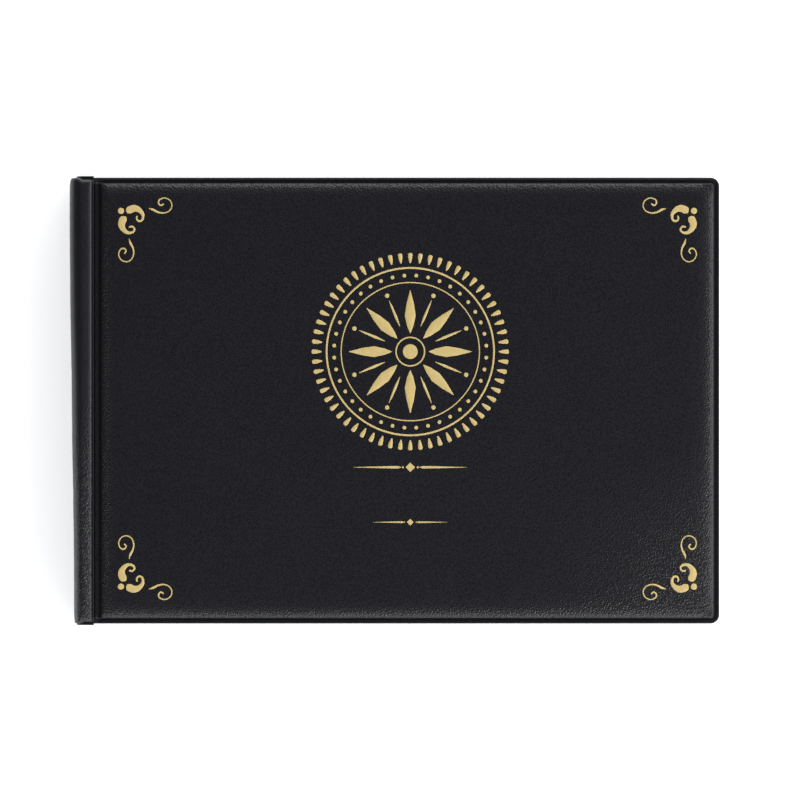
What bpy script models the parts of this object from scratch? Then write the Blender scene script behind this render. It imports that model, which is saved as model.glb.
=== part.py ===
"""Pocket coin album, closed and lying on its back cover.

The album is a padded leatherette case with ten leaves of coin pockets. Its cover is three stiffened
panels (front, spine, back) between one outer skin and one inner lining, with a soft hinge strip
between the spine and each cover. Each leaf is a base film with a pocket film welded on it.

Frame: +X from the spine to the fore edge, +Y up the page, +Z up through the closed album.
The origin is on the table, under the middle of the album.
"""

import math

import bmesh
import bpy
from mathutils import Matrix, Vector

MM = 0.001

# The closed album.
ALBUM_WIDTH = 210.0 * MM        # spine to fore edge
ALBUM_HEIGHT = 145.0 * MM       # length of the spine
ALBUM_THICKNESS = 25.0 * MM     # over both covers
COVER_STEP = 0.5 * MM           # each cover is this much shorter than the spine, at each end
CORNER_RADIUS = 4.0 * MM        # the two fore-edge corners of a cover
CORNER_SEGMENTS = 5

# The layers of every panel, from the outside in.
SKIN = 0.5 * MM                 # leatherette
FOAM = 0.6 * MM                 # padding
BOARD = 1.1 * MM                # grey board
LINING = 0.35 * MM              # inner sheet
GAP = 0.25 * MM                 # between layers that touch

# The welded edge and the folds.
FLANGE = 1.3 * MM               # flat weld round the padded part of a cover
HINGE_STRIP = 9.4 * MM          # spine's outer face to the middle of the groove
GROOVE = 2.0 * MM               # width of the pressed groove beside each cover
GROOVE_SPLIT = 0.3 * MM         # between the two halves of the folding groove
FOLD_DEPTH = 1.2 * MM           # a spine corner folds this far under the outer faces
FOLD_SPLIT = 0.3 * MM           # between two panels that fold at a corner
COVER_PIVOT_RISE = 0.3 * MM     # the cover folds back on a line this far above the groove

# The leaves.
LEAF_COUNT = 10
LARGE_POCKET_LEAVES = 6         # the first leaves, from the front cover
LARGE_POCKETS = (6, 4)          # columns and rows on a leaf for large coins
SMALL_POCKETS = (7, 6)          # columns and rows on a leaf for small coins
FILM = 0.3 * MM                 # base film and pocket film
FILM_GAP = 0.3 * MM             # the empty pocket between the two films
LEAF_END_MARGIN = 3.0 * MM      # leaf's top and bottom edges to the cover's
LEAF_FORE_MARGIN = 4.0 * MM     # leaf's fore edge to the cover's fore edge
LEAF_RADIUS = 3.0 * MM
ROOT_MARGIN = 12.0 * MM         # bare base film beside the binding
ROOT_GAP = 0.3 * MM             # leaf's root to the binding strip
SLOT_HEIGHT = 1.4 * MM          # the mouth that is cut in each pocket
SLOT_INSET = 4.0 * MM           # pocket's side weld to the end of its mouth
SLOT_DROP = 3.5 * MM            # pocket's top weld to the middle of its mouth
POCKET_EDGE = 2.0 * MM          # outer edge of the pocket film to the first weld

# The binding.
BINDING_STRIP = 0.5 * MM        # strip that holds the leaves' roots on the spine
BINDING_MARGIN = 0.45 * MM      # its edges to the covers' linings
CUT_OVERRUN = 1.0 * MM          # how far a cutter runs past the face it opens

# Places that follow from the sizes above.
HALF_WIDTH = ALBUM_WIDTH / 2
HALF_HEIGHT = ALBUM_HEIGHT / 2
HALF_THICKNESS = ALBUM_THICKNESS / 2
COVER_HALF_HEIGHT = HALF_HEIGHT - COVER_STEP
FOAM_TOP = SKIN + GAP                       # depths under a panel's outer face
BOARD_TOP = FOAM_TOP + FOAM + GAP
SKIN_RIM = BOARD_TOP + BOARD
LINING_TOP = SKIN_RIM + GAP
PANEL = LINING_TOP + LINING
GROOVE_X = -HALF_WIDTH + HINGE_STRIP
SPINE_HALF = HALF_THICKNESS - FOLD_DEPTH - FOLD_SPLIT / 2
BINDING_TOP = PANEL + GAP
LEAF_ROOT_X = -HALF_WIDTH + BINDING_TOP + BINDING_STRIP + ROOT_GAP
LEAF_FORE_X = HALF_WIDTH - LEAF_FORE_MARGIN
LEAF_HALF_HEIGHT = COVER_HALF_HEIGHT - LEAF_END_MARGIN
LEAF_PITCH = (ALBUM_THICKNESS - 2 * PANEL) / LEAF_COUNT


# ---------------------------------------------------------------- tools of the workshop


def new_collection(name):
    """A collection under the scene's own."""
    collection = bpy.data.collections.new(name)
    bpy.context.scene.collection.children.link(collection)
    return collection


def add_object(name, bm, collection):
    """Turn a bmesh into an object in a collection."""
    mesh = bpy.data.meshes.new(name)
    bm.to_mesh(mesh)
    bm.free()
    thing = bpy.data.objects.new(name, mesh)
    collection.objects.link(thing)
    return thing


def add_box(bm, low, high):
    """Add a box between two corners to a bmesh and return its vertices."""
    made = bmesh.ops.create_cube(bm, size=1.0)["verts"]
    size = Vector(high) - Vector(low)
    middle = (Vector(high) + Vector(low)) / 2
    bmesh.ops.scale(bm, vec=size, verts=made)
    bmesh.ops.translate(bm, vec=middle, verts=made)
    return made


def plate(low, high, fore_radius=0.0):
    """A flat box whose two corners at the fore edge can be rounded."""
    bm = bmesh.new()
    add_box(bm, low, high)
    if fore_radius > 0.0:
        corners = [edge for edge in bm.edges if is_fore_corner(edge, high[0])]
        bmesh.ops.bevel(bm, geom=corners, offset=fore_radius, segments=CORNER_SEGMENTS,
                        profile=0.5, affect="EDGES")
    return bm


def is_fore_corner(edge, fore_x):
    """True for an upright edge that lies on the fore edge."""
    first, second = (vert.co for vert in edge.verts)
    upright = abs(first.z - second.z) > abs(first.y - second.y)
    return upright and first.x > fore_x - GAP and second.x > fore_x - GAP


def chamfer_side(bm, x, z, amount):
    """Cut 45 degrees off the long edge that runs along Y at this x and z."""
    edges = [edge for edge in bm.edges if all(is_near(vert.co, x, z) for vert in edge.verts)]
    bmesh.ops.bevel(bm, geom=edges, offset=amount, segments=1, affect="EDGES")


def is_near(point, x, z):
    """True for a point on the line along Y at this x and z."""
    return abs(point.x - x) < GAP / 10 and abs(point.z - z) < GAP / 10


def boolean(target, tool, operation):
    """Cut a tool out of an object, or fuse it on."""
    step = target.modifiers.new(tool.name, "BOOLEAN")
    step.operation = operation
    step.solver = "EXACT"
    step.object = tool
    tool.hide_render = True
    tool.display_type = "WIRE"


def pivot(name, place, collection):
    """An empty on a joint's axis, which the pieces that turn on it hang from."""
    empty = bpy.data.objects.new(name, None)
    empty.location = place
    empty.empty_display_size = 5 * MM
    collection.objects.link(empty)
    return empty


def hang(thing, parent):
    """Parent an object to a pivot and leave it where it is."""
    thing.parent = parent
    thing.matrix_parent_inverse = Matrix.Translation(parent.location).inverted()


# ---------------------------------------------------------------- materials


def make_material(name, colour, roughness, alpha=1.0):
    """A plain Principled material."""
    material = bpy.data.materials.new(name)
    material.use_nodes = True
    shader = material.node_tree.nodes["Principled BSDF"]
    shader.inputs["Base Color"].default_value = (*colour, 1.0)
    shader.inputs["Roughness"].default_value = roughness
    shader.inputs["Metallic"].default_value = 0.0
    shader.inputs["Alpha"].default_value = alpha
    return material


def leatherette():
    """Grained black PVC on the outside."""
    return make_material("black_leatherette", (0.016, 0.016, 0.019), 0.42)


def padding():
    """White PU foam under the skin."""
    return make_material("white_foam", (0.78, 0.77, 0.72), 0.9)


def grey_board():
    """Grey board that stiffens a panel."""
    return make_material("grey_board", (0.30, 0.27, 0.22), 0.85)


def lining_sheet():
    """Smooth black PVC inside the covers."""
    return make_material("black_lining", (0.020, 0.020, 0.022), 0.5)


def binding_tape():
    """Black PVC tape that holds the leaves."""
    return make_material("black_binding", (0.024, 0.024, 0.026), 0.55)


def base_film():
    """Clear PVC sheet behind the pockets."""
    return make_material("clear_base_film", (0.86, 0.89, 0.92), 0.12, 0.35)


def pocket_film():
    """Clear PVC sheet with the pockets' mouths."""
    return make_material("clear_pocket_film", (0.90, 0.92, 0.95), 0.10, 0.35)


# ---------------------------------------------------------------- one panel of the cover


class Panel:
    """The pieces of one stretch of the cover.

    They are made with the outer face at z = 0 and the layers below it, and then stood in place.
    """

    def __init__(self, prefix, place, rotation, parent, album, cutters):
        self.prefix = prefix
        self.place = place
        self.rotation = rotation
        self.parent = parent
        self.album = album
        self.cutters = cutters

    def stand(self, thing):
        """Put a piece, or one of its tools, where the panel is."""
        thing.location = self.place
        thing.rotation_euler = self.rotation
        return thing

    def piece(self, part, bm, material):
        """Add a finished layer of the panel."""
        thing = self.stand(add_object(self.prefix + "_" + part, bm, self.album))
        thing.data.materials.append(material)
        hang(thing, self.parent)
        return thing

    def tool(self, part, bm):
        """Add a tool for this panel's skin."""
        return self.stand(add_object(self.prefix + "_" + part, bm, self.cutters))


def cover_skin(panel, material):
    """Leatherette over a cover: a padded tray with a flat weld flange round three sides."""
    y = COVER_HALF_HEIGHT
    start = GROOVE_X + GROOVE_SPLIT / 2
    flange = plate((start, -y, -SKIN_RIM), (HALF_WIDTH, y, -SKIN_RIM + SKIN), CORNER_RADIUS)
    skin = panel.piece("skin", flange, material)

    tray_start = GROOVE_X + GROOVE / 2
    tray_y = y - FLANGE
    tray = plate((tray_start, -tray_y, -SKIN_RIM), (HALF_WIDTH - FLANGE, tray_y, 0.0),
                 CORNER_RADIUS - FLANGE)
    boolean(skin, panel.tool("skin_tray", tray), "UNION")

    wall = FLANGE + SKIN
    hollow = plate((tray_start + SKIN, -y + wall, -SKIN_RIM - CUT_OVERRUN),
                   (HALF_WIDTH - wall, y - wall, -SKIN), CORNER_RADIUS - wall)
    boolean(skin, panel.tool("skin_hollow", hollow), "DIFFERENCE")
    return skin


def cover_layer(panel, part, top, thickness, material):
    """A sheet of foam or board in the hollow of a cover's skin."""
    inset = FLANGE + SKIN + GAP
    start = GROOVE_X + GROOVE / 2 + SKIN + GAP
    y = COVER_HALF_HEIGHT - inset
    sheet = plate((start, -y, -top - thickness), (HALF_WIDTH - inset, y, -top),
                  CORNER_RADIUS - inset)
    return panel.piece(part, sheet, material)


def cover_lining(panel, material):
    """Inner sheet of a cover, out to the edge of the weld."""
    start = GROOVE_X + GROOVE_SPLIT / 2
    y = COVER_HALF_HEIGHT
    sheet = plate((start, -y, -PANEL), (HALF_WIDTH, y, -LINING_TOP), CORNER_RADIUS)
    return panel.piece("lining", sheet, material)


def build_cover(panel, paint):
    """All the layers of a front or back cover."""
    cover_skin(panel, paint["skin"])
    cover_layer(panel, "foam", FOAM_TOP, FOAM, paint["foam"])
    cover_layer(panel, "board", BOARD_TOP, BOARD, paint["board"])
    cover_lining(panel, paint["lining"])


def hinge_skin(panel, material):
    """Leatherette over a hinge strip: a channel mitred at the spine, with a flange in the groove."""
    fold_x = -HALF_WIDTH + FOLD_DEPTH + FOLD_SPLIT / 2
    pad_end = GROOVE_X - GROOVE / 2
    mitre = SKIN_RIM - FOLD_DEPTH
    body = plate((fold_x, -HALF_HEIGHT, -SKIN_RIM), (pad_end, HALF_HEIGHT, 0.0))
    chamfer_side(body, fold_x, -SKIN_RIM, mitre)
    skin = panel.piece("skin", body, material)

    web = plate((pad_end - SKIN, -HALF_HEIGHT, -SKIN_RIM),
                (GROOVE_X - GROOVE_SPLIT / 2, HALF_HEIGHT, -SKIN_RIM + SKIN))
    boolean(skin, panel.tool("skin_web", web), "UNION")

    hollow = plate((fold_x + mitre + SKIN, -HALF_HEIGHT + SKIN, -SKIN_RIM - CUT_OVERRUN),
                   (pad_end - SKIN, HALF_HEIGHT - SKIN, -SKIN))
    boolean(skin, panel.tool("skin_hollow", hollow), "DIFFERENCE")
    return skin


def hinge_foam(panel, material):
    """Soft filler in a hinge strip, which has no board."""
    fold_x = -HALF_WIDTH + FOLD_DEPTH + FOLD_SPLIT / 2
    start = fold_x + SKIN_RIM - FOLD_DEPTH + SKIN + GAP
    end = GROOVE_X - GROOVE / 2 - SKIN - GAP
    y = HALF_HEIGHT - SKIN - GAP
    return panel.piece("foam", plate((start, -y, -SKIN_RIM), (end, y, -FOAM_TOP)), material)


def hinge_lining(panel, material):
    """Inner sheet of a hinge strip, from the spine's fold to the groove."""
    start = -HALF_WIDTH + PANEL + FOLD_SPLIT / 2
    end = GROOVE_X - GROOVE_SPLIT / 2
    sheet = plate((start, -HALF_HEIGHT, -PANEL), (end, HALF_HEIGHT, -LINING_TOP))
    return panel.piece("lining", sheet, material)


def build_hinge(panel, paint):
    """All the layers of a hinge strip."""
    hinge_skin(panel, paint["skin"])
    hinge_foam(panel, paint["foam"])
    hinge_lining(panel, paint["lining"])


def spine_skin(panel, material):
    """Leatherette over the spine: a tray mitred along both folds."""
    mitre = SKIN_RIM - FOLD_DEPTH
    body = plate((-SPINE_HALF, -HALF_HEIGHT, -SKIN_RIM), (SPINE_HALF, HALF_HEIGHT, 0.0))
    chamfer_side(body, -SPINE_HALF, -SKIN_RIM, mitre)
    chamfer_side(body, SPINE_HALF, -SKIN_RIM, mitre)
    skin = panel.piece("skin", body, material)

    x = SPINE_HALF - mitre - SKIN
    y = HALF_HEIGHT - SKIN
    hollow = plate((-x, -y, -SKIN_RIM - CUT_OVERRUN), (x, y, -SKIN))
    boolean(skin, panel.tool("skin_hollow", hollow), "DIFFERENCE")
    return skin


def spine_layer(panel, part, top, thickness, material):
    """A strip of foam or board in the hollow of the spine's skin."""
    x = SPINE_HALF - (SKIN_RIM - FOLD_DEPTH) - SKIN - GAP
    y = HALF_HEIGHT - SKIN - GAP
    return panel.piece(part, plate((-x, -y, -top - thickness), (x, y, -top)), material)


def spine_lining(panel, material):
    """Inner sheet of the spine."""
    x = HALF_THICKNESS - PANEL - FOLD_SPLIT / 2
    sheet = plate((-x, -HALF_HEIGHT, -PANEL), (x, HALF_HEIGHT, -LINING_TOP))
    return panel.piece("lining", sheet, material)


def binding_strip(panel, material):
    """Tape along the inside of the spine that the leaves' roots are welded to."""
    x = HALF_THICKNESS - PANEL - BINDING_MARGIN
    y = LEAF_HALF_HEIGHT
    tape = plate((-x, -y, -BINDING_TOP - BINDING_STRIP), (x, y, -BINDING_TOP))
    return panel.piece("binding_strip", tape, material)


def build_spine(panel, paint):
    """All the layers of the spine, and the binding inside it."""
    spine_skin(panel, paint["skin"])
    spine_layer(panel, "foam", FOAM_TOP, FOAM, paint["foam"])
    spine_layer(panel, "board", BOARD_TOP, BOARD, paint["board"])
    spine_lining(panel, paint["lining"])
    binding_strip(panel, paint["binding"])


# ---------------------------------------------------------------- the leaves


def pocket_mouths(columns, rows, low_z, high_z):
    """One cutter with a slot for each pocket's mouth, near the pocket's top weld."""
    left = LEAF_ROOT_X + ROOT_MARGIN + POCKET_EDGE
    width = (LEAF_FORE_X - POCKET_EDGE - left) / columns
    bottom = -LEAF_HALF_HEIGHT + POCKET_EDGE
    height = 2 * (LEAF_HALF_HEIGHT - POCKET_EDGE) / rows
    bm = bmesh.new()
    for column in range(columns):
        start = left + column * width + SLOT_INSET
        end = left + (column + 1) * width - SLOT_INSET
        for row in range(rows):
            middle = bottom + (row + 1) * height - SLOT_DROP
            add_box(bm, (start, middle - SLOT_HEIGHT / 2, low_z),
                    (end, middle + SLOT_HEIGHT / 2, high_z))
    return bm


def build_leaf(number, paint, album, cutters):
    """A base film and the pocket film on it, turning on the leaf's root."""
    name = "page_{:02d}".format(number)
    middle_z = ALBUM_THICKNESS - PANEL - (number - 0.5) * LEAF_PITCH
    base_low = middle_z - FILM_GAP / 2 - FILM
    base_high = base_low + FILM
    pocket_low = base_high + FILM_GAP
    pocket_high = pocket_low + FILM
    y = LEAF_HALF_HEIGHT
    turn = pivot(name + "_pivot", (LEAF_ROOT_X, 0.0, base_low + FILM / 2), album)

    base = plate((LEAF_ROOT_X, -y, base_low), (LEAF_FORE_X, y, base_high), LEAF_RADIUS)
    base_sheet = add_object(name + "_base", base, album)
    base_sheet.data.materials.append(paint["base"])
    hang(base_sheet, turn)

    front = plate((LEAF_ROOT_X + ROOT_MARGIN, -y, pocket_low), (LEAF_FORE_X, y, pocket_high),
                  LEAF_RADIUS)
    pocket_sheet = add_object(name + "_pockets", front, album)
    pocket_sheet.data.materials.append(paint["pocket"])
    hang(pocket_sheet, turn)

    columns, rows = LARGE_POCKETS if number <= LARGE_POCKET_LEAVES else SMALL_POCKETS
    mouths = pocket_mouths(columns, rows, pocket_low - FILM_GAP / 2, pocket_high + CUT_OVERRUN)
    cutter = add_object(name + "_mouths", mouths, cutters)
    boolean(pocket_sheet, cutter, "DIFFERENCE")


# ---------------------------------------------------------------- the album


def build_album():
    """Put the covers, the spine and the leaves together."""
    for thing in list(bpy.data.objects):
        bpy.data.objects.remove(thing, do_unlink=True)
    album = new_collection("coin_album")
    cutters = new_collection("cutters")
    paint = {
        "skin": leatherette(),
        "foam": padding(),
        "board": grey_board(),
        "lining": lining_sheet(),
        "binding": binding_tape(),
        "base": base_film(),
        "pocket": pocket_film(),
    }

    fold_x = -HALF_WIDTH + FOLD_DEPTH
    back_turn = pivot("back_pivot", (0.0, 0.0, 0.0), album)
    spine_turn = pivot("spine_pivot", (fold_x, 0.0, FOLD_DEPTH), album)
    strip_turn = pivot("front_hinge_pivot", (fold_x, 0.0, ALBUM_THICKNESS - FOLD_DEPTH), album)
    cover_turn = pivot("front_cover_pivot", (GROOVE_X, 0.0, ALBUM_THICKNESS + COVER_PIVOT_RISE),
                       album)

    top = (0.0, 0.0, ALBUM_THICKNESS)
    table = (0.0, 0.0, 0.0)
    outside = (-HALF_WIDTH, 0.0, HALF_THICKNESS)
    face_up = (0.0, 0.0, 0.0)
    face_down = (math.pi, 0.0, 0.0)
    face_out = (0.0, -math.pi / 2, 0.0)

    build_cover(Panel("front_cover", top, face_up, cover_turn, album, cutters), paint)
    build_hinge(Panel("front_hinge", top, face_up, strip_turn, album, cutters), paint)
    build_spine(Panel("spine", outside, face_out, spine_turn, album, cutters), paint)
    build_hinge(Panel("back_hinge", table, face_down, back_turn, album, cutters), paint)
    build_cover(Panel("back_cover", table, face_down, back_turn, album, cutters), paint)
    for number in range(1, LEAF_COUNT + 1):
        build_leaf(number, paint, album, cutters)


build_album()
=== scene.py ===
"""A small pocket coin album in grained black leatherette, closed and lying on its back cover.

The script works inwards: the studio, the skins of the covers and the spine, the gold stamping,
the linings, the foam, the boards, the binding tape, and then the leaves of coin pockets.
"""

import math

import bmesh
import bpy
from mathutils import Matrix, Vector, noise
from mathutils.bvhtree import BVHTree


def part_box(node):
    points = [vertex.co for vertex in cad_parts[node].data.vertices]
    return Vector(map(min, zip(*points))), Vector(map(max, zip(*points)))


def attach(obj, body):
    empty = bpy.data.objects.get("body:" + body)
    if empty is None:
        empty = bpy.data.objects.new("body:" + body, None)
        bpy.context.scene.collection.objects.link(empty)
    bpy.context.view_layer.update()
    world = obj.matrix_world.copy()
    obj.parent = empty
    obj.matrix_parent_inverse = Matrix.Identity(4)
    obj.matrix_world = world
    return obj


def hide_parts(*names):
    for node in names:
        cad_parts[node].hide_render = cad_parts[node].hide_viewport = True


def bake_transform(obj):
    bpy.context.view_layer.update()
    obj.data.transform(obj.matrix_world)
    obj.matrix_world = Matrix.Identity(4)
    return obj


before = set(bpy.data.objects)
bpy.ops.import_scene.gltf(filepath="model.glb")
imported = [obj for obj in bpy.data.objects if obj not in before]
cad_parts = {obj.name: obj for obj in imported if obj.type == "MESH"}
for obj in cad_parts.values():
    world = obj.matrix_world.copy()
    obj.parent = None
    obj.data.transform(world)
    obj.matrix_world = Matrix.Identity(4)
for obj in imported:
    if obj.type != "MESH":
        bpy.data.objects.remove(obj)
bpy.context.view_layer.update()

MM = 0.001


# ---------------------------------------------------------------- studio
# A studio table of opal acrylic, lit a little from below, under a white tent with a dark top,
# so that flat leather stays dark and curves shine. A long lens looks straight down.

TABLE_SIZE = 6.0
LENS = 300.0
FILM_BACK = 36.0
VIEW_WIDTH = 258.0 * MM         # what the lens sees across, at the height of the front cover
VIEW_CENTRE = (1.9 * MM, 0.2 * MM)


def linear(hex_colour):
    """An sRGB hex colour as linear RGBA."""
    channels = [int(hex_colour[place:place + 2], 16) / 255 for place in (1, 3, 5)]
    straight = [c / 12.92 if c <= 0.04045 else ((c + 0.055) / 1.055) ** 2.4 for c in channels]
    return (*straight, 1.0)


def add_node(material, kind, settings=None, **links):
    """Add a shader node, with its properties and values set and its inputs linked."""
    tree = material.node_tree
    node = tree.nodes.new(kind)
    for name, value in (settings or {}).items():
        if isinstance(name, int) or name in node.inputs:
            node.inputs[name].default_value = value
        else:
            setattr(node, name, value)
    for name, source in links.items():
        socket = node.inputs[int(name[2:])] if name.startswith("in") else node.inputs[name]
        tree.links.new(source, socket)
    return node


def new_material(name, **values):
    """A Principled material; names of values are socket names with _ for a space."""
    material = bpy.data.materials.new(name)
    material.use_nodes = True
    shader = material.node_tree.nodes["Principled BSDF"]
    for socket, value in values.items():
        shader.inputs[socket.replace("_", " ")].default_value = value
    return material, shader


def soft_box(name, place, aim, size, power):
    """A rectangular area light that faces a point; size is its width and height."""
    data = bpy.data.lights.new(name, "AREA")
    data.shape = "RECTANGLE"
    data.size, data.size_y = size
    data.energy = power
    lamp = bpy.data.objects.new(name, data)
    bpy.context.scene.collection.objects.link(lamp)
    lamp.location = place
    lamp.rotation_euler = (Vector(aim) - Vector(place)).to_track_quat("-Z", "Y").to_euler()


bpy.ops.mesh.primitive_plane_add(size=TABLE_SIZE, location=(0.0, 0.0, 0.0))
table = bpy.context.object
table.name = "table"
acrylic, _ = new_material("opal_acrylic_light_table", Base_Color=linear("#F6F6F5"), Roughness=0.9,
                          Emission_Color=linear("#FBFCFF"), Emission_Strength=0.55)
table.data.materials.append(acrylic)

soft_box("key_right", (0.38, -0.40, 0.52), (0.10, -0.06, 0.0), (0.13, 0.13), 1.5)
soft_box("low_left", (-0.44, -0.42, 0.52), (-0.10, -0.05, 0.0), (0.08, 0.14), 0.8)
soft_box("rim_top", (0.0, 1.7, 0.7), (0.0, 0.0, 0.0), (2.2, 0.5), 8.0)

world = bpy.data.worlds.new("studio_tent")
world.use_nodes = True
around = add_node(world, "ShaderNodeSeparateXYZ",
                  Vector=add_node(world, "ShaderNodeTexCoord").outputs["Generated"])
top_dark = add_node(world, "ShaderNodeMapRange",
                    {"From Min": 0.50, "From Max": 0.88, "To Min": 2.6, "To Max": 0.06,
                     "interpolation_type": "SMOOTHSTEP"}, Value=around.outputs["Z"])
left_dark = add_node(world, "ShaderNodeMapRange",
                     {"From Min": -0.50, "From Max": 0.05, "To Min": 0.06, "To Max": 1.05,
                      "interpolation_type": "SMOOTHSTEP"}, Value=around.outputs["X"])
tent = add_node(world, "ShaderNodeMath", {"operation": "MULTIPLY"},
                in0=top_dark.outputs["Result"], in1=left_dark.outputs["Result"])
sky = world.node_tree.nodes["Background"]
sky.inputs["Color"].default_value = linear("#F7F8FA")
world.node_tree.links.new(tent.outputs["Value"], sky.inputs["Strength"])
bpy.context.scene.world = world
bpy.context.scene.view_settings.view_transform = "Standard"

camera_data = bpy.data.cameras.new("camera")
camera_data.lens = LENS
camera_data.sensor_width = FILM_BACK
camera = bpy.data.objects.new("camera", camera_data)
bpy.context.scene.collection.objects.link(camera)
FACE_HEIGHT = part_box("front_cover_skin")[1].z
camera.location = (*VIEW_CENTRE, FACE_HEIGHT + VIEW_WIDTH * LENS / FILM_BACK)
bpy.context.scene.camera = camera


# ---------------------------------------------------------------- cover skins, leatherette
# The album's outside is one sheet of calendered PVC leatherette, laid over thin foam and grey
# board. It is welded to the lining all round with a hot tool, which leaves a flat flange with
# a bead on its rim, and a groove with a thin ridge where the front cover hinges.

FACE_SINK = 0.08 * MM           # the skin lies this far under the CAD face, for the foil on it
SKIN_WALL = 0.3 * MM
COVER_CORNER = 2.8 * MM
BLUNT = 1.6 * MM                # how much blunter the padding's corners are than the flange's
GROOVE_END = 1.4 * MM           # groove's middle to the line pressed beside the soft strip
# Distance in from the welded edge, and depth under the face, in millimetres.
WELDED_EDGE = (
    (0.0, 2.60), (0.12, 2.36), (0.38, 2.26), (0.62, 2.30), (0.9, 2.42), (1.3, 2.46),
    (1.55, 2.52), (1.72, 2.32), (1.85, 1.60), (2.0, 1.05), (2.2, 0.80), (2.8, 0.64),
    (3.5, 0.49), (4.5, 0.33), (5.8, 0.19), (7.5, 0.09), (10.0, 0.03), (13.0, 0.0),
)
# Distance across the groove, from its middle to the fore edge, and depth.
GROOVE = (
    (-1.4, 2.34), (-1.12, 2.24), (-0.85, 1.80), (-0.6, 2.06), (-0.3, 2.42), (0.1, 2.52),
    (0.5, 2.36), (0.75, 1.70), (1.0, 1.20), (1.4, 0.86), (2.0, 0.58), (3.0, 0.30),
    (4.5, 0.12), (7.0, 0.03), (9.0, 0.0),
)
LEATHER_BLACK = "#0D0D13"
LEATHER_WORN = "#131319"
GRAIN = 0.62 * MM               # width of one pebble of the grain
PORE = 0.2 * MM
FIELD_PRESS = 0.84              # how far the grain is ironed flat where the covers are flat


def leatherette():
    """Calendered PVC leatherette: near-black, pebbled, semi-gloss, smooth where it is pressed."""
    material, shader = new_material("pebbled_pvc_leatherette", IOR=1.5, Metallic=0.0)
    where = add_node(material, "ShaderNodeTexCoord").outputs["Object"]
    pebble = add_node(material, "ShaderNodeTexVoronoi",
                      {"feature": "SMOOTH_F1", "Scale": 1 / GRAIN, "Smoothness": 0.35,
                       "Randomness": 0.95}, Vector=where)
    pore = add_node(material, "ShaderNodeTexNoise", {"Scale": 1 / PORE, "Detail": 3.0},
                    Vector=where)
    mottle = add_node(material, "ShaderNodeTexNoise", {"Scale": 45.0, "Detail": 4.0},
                      Vector=where)
    dome = add_node(material, "ShaderNodeMapRange",
                    {"From Min": 0.05, "From Max": 0.62, "To Min": 1.0, "To Max": 0.0},
                    Value=pebble.outputs["Distance"])
    height = add_node(material, "ShaderNodeMath", {"operation": "MULTIPLY_ADD", 1: 0.22},
                      in0=pore.outputs["Fac"], in2=dome.outputs["Result"])
    pressed = add_node(material, "ShaderNodeAttribute", {"attribute_name": "pressed"})
    open_grain = add_node(material, "ShaderNodeMapRange", {"To Min": 1.0, "To Max": 0.12},
                          Value=pressed.outputs["Fac"])
    grain = add_node(material, "ShaderNodeMath", {"operation": "MULTIPLY"},
                     in0=height.outputs["Value"], in1=open_grain.outputs["Result"])
    bump = add_node(material, "ShaderNodeBump", {"Strength": 1.0, "Distance": 0.13 * MM},
                    Height=grain.outputs["Value"])
    colour = add_node(material, "ShaderNodeMix",
                      {"data_type": "RGBA", 6: linear(LEATHER_BLACK), 7: linear(LEATHER_WORN)},
                      in0=mottle.outputs["Fac"])
    sheen = add_node(material, "ShaderNodeMapRange", {"To Min": 0.42, "To Max": 0.26},
                     Value=dome.outputs["Result"])
    tree = material.node_tree
    tree.links.new(colour.outputs[2], shader.inputs["Base Color"])
    tree.links.new(sheen.outputs["Result"], shader.inputs["Roughness"])
    tree.links.new(bump.outputs["Normal"], shader.inputs["Normal"])
    return material


def edit(piece):
    """Open one piece in edit mode, with nothing else selected."""
    bpy.ops.object.select_all(action="DESELECT")
    piece.select_set(True)
    bpy.context.view_layer.objects.active = piece
    bpy.ops.object.mode_set(mode="EDIT")


def done():
    """Close edit mode."""
    bpy.ops.object.mode_set(mode="OBJECT")


def pick(piece, kind, test):
    """In edit mode, select only the corners, edges or faces whose middle passes a test."""
    bpy.ops.mesh.select_mode(type=kind)
    bpy.ops.mesh.select_all(action="DESELECT")
    bm = bmesh.from_edit_mesh(piece.data)
    parts = {"VERT": bm.verts, "EDGE": bm.edges, "FACE": bm.faces}[kind]
    for part in parts:
        spots = [part.co] if kind == "VERT" else [vert.co for vert in part.verts]
        if test(sum(spots, Vector()) / len(spots)):
            part.select_set(True)
    bmesh.update_edit_mesh(piece.data)


def slice_at(places, axis):
    """In edit mode, cut the whole piece across X (0), Y (1) or Z (2) at each place."""
    across = [0.0, 0.0, 0.0]
    across[axis] = 1.0
    for place in places:
        point = [0.0, 0.0, 0.0]
        point[axis] = place
        bpy.ops.mesh.select_all(action="SELECT")
        bpy.ops.mesh.bisect(plane_co=point, plane_no=across)


def spread(start, end, step):
    """Even places from start to end, both included, about a step apart."""
    count = max(1, round((end - start) / step))
    return [start + (end - start) * number / count for number in range(count + 1)]


def new_sheet(name, low, high, height=0.0):
    """A flat rectangle between two corners, with its place in its mesh."""
    bpy.ops.mesh.primitive_plane_add(size=1.0)
    sheet = bpy.context.object
    sheet.name = name
    for vert in sheet.data.vertices:
        vert.co.x = low[0] + (vert.co.x + 0.5) * (high[0] - low[0])
        vert.co.y = low[1] + (vert.co.y + 0.5) * (high[1] - low[1])
        vert.co.z = height
    return sheet


def soften(piece, angle=40):
    """Smooth a piece except where it turns by more than the angle."""
    bpy.ops.object.select_all(action="DESELECT")
    piece.select_set(True)
    bpy.context.view_layer.objects.active = piece
    bpy.ops.object.shade_smooth_by_angle(angle=math.radians(angle))


def thicken(piece, wall, offset=-1.0, group=""):
    """Give a sheet its wall, and smooth it."""
    step = piece.modifiers.new("wall", "SOLIDIFY")
    step.thickness = wall
    step.offset = offset
    step.vertex_group = group
    bpy.context.view_layer.objects.active = piece
    bpy.ops.object.modifier_apply(modifier=step.name)
    soften(piece)


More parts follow.
